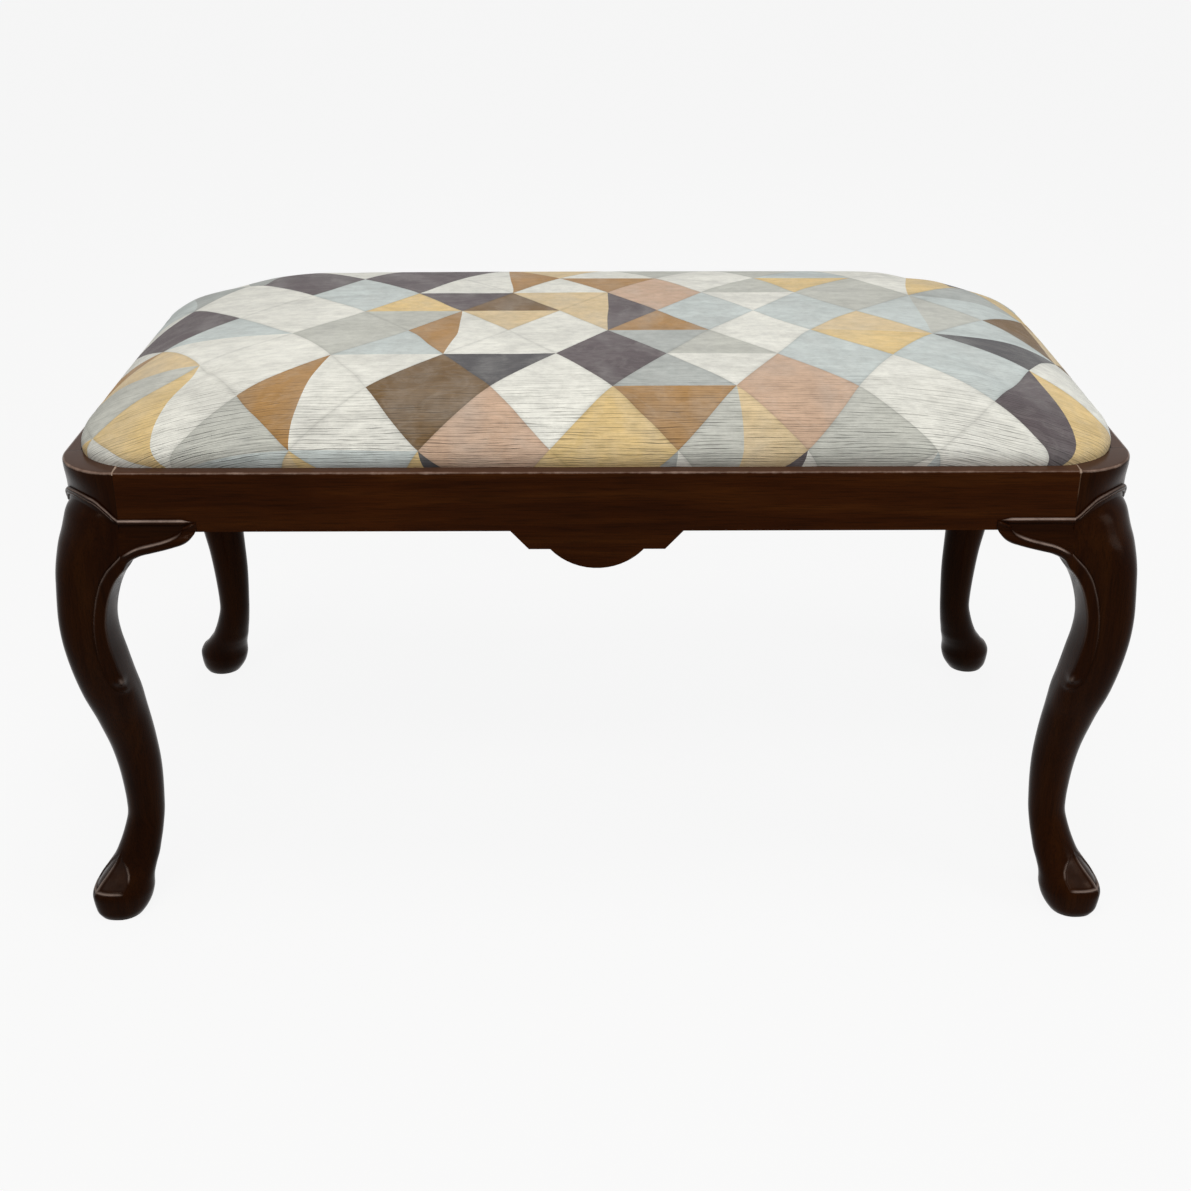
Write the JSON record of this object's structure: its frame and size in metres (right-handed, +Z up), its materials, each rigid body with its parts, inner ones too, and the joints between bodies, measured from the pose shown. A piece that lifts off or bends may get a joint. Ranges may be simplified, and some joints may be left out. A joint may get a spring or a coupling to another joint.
{
  "type": "upholstered bench",
  "caption": "Low bench with cabriole legs, slipper feet and a shaped rail, carrying a crowned drop-in seat in patchwork cotton that lifts out.",
  "frame": {"origin": "on the floor, under the middle of the bench", "axes": "+X along the long side to the right seen from the front, +Y from front to back, +Z up"},
  "size_m": [0.904, 0.512, 0.484],
  "materials": {
    "mahogany": "dark red-brown mahogany stain under semi-gloss lacquer",
    "block_wood": "unpolished hardwood",
    "screw_steel": "plain steel",
    "seat_frame_wood": "unpolished beech",
    "jute_webbing": "woven jute",
    "hessian_cloth": "coarse open weave",
    "foam": "matt foam",
    "printed_cotton": "matt slub cotton printed with a geometric patchwork",
    "black_cambric": "matt thin cloth",
    "tack_steel": "blued steel"
  },
  "bodies": {
    "bench_frame": {"leg_front_left": "mahogany", "leg_front_right": "mahogany", "leg_back_left": "mahogany", "leg_back_right": "mahogany", "front_rail": "mahogany", "back_rail": "mahogany", "left_rail": "mahogany", "right_rail": "mahogany", "bracket_front_left": "mahogany", "bracket_front_right": "mahogany", "bracket_back_left": "mahogany", "bracket_back_right": "mahogany", "bracket_left_front": "mahogany", "bracket_left_back": "mahogany", "bracket_right_front": "mahogany", "bracket_right_back": "mahogany", "block_front_left": "block_wood", "block_front_right": "block_wood", "block_back_left": "block_wood", "block_back_right": "block_wood", "block_screws": "screw_steel"},
    "drop_in_seat": {"seat_rail_front": "seat_frame_wood", "seat_rail_back": "seat_frame_wood", "seat_rail_left": "seat_frame_wood", "seat_rail_right": "seat_frame_wood", "webbing_long": "jute_webbing", "webbing_cross": "jute_webbing", "hessian": "hessian_cloth", "foam_pad": "foam", "seat_cover": "printed_cotton", "dust_cover": "black_cambric", "cover_tacks": "tack_steel"}
  },
  "joints": [
    {"name": "seat_lift", "type": "slide", "parent": "bench_frame", "child": "drop_in_seat", "axis": [0, 0, 1], "range_m": [0, 0.12]}
  ]
}
